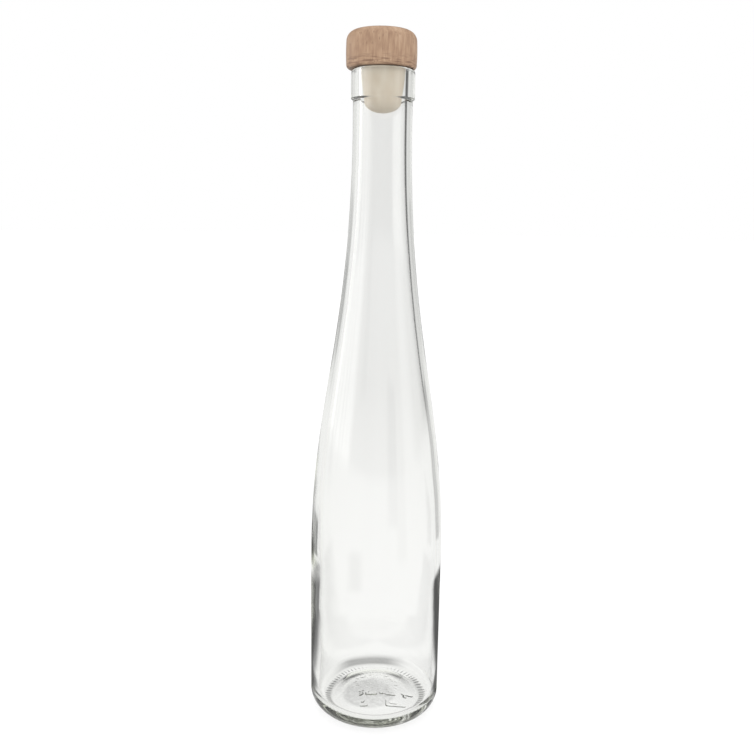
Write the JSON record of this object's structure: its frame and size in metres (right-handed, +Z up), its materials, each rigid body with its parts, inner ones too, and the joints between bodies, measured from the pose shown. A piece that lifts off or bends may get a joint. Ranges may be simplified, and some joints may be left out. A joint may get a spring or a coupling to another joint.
{
  "type": "spirit bottle",
  "caption": "Slim clear glass bottle, empty, with a body that slopes into a long neck, closed by a wooden-headed push-in stopper.",
  "frame": {"origin": "centre of the base on the surface the bottle stands on", "axes": "+Z up along the bottle's axis, towards the mouth; -Y is the side the picture looks at"},
  "size_m": [0.06, 0.06, 0.3022],
  "materials": {
    "glass": "clear, polished",
    "wood": "turned beech, oiled satin",
    "plug": "moulded, fine-pored matt"
  },
  "bodies": {
    "root": {"bottle": "glass", "stopper_head": "wood", "stopper_plug": "plug"}
  },
  "joints": []
}
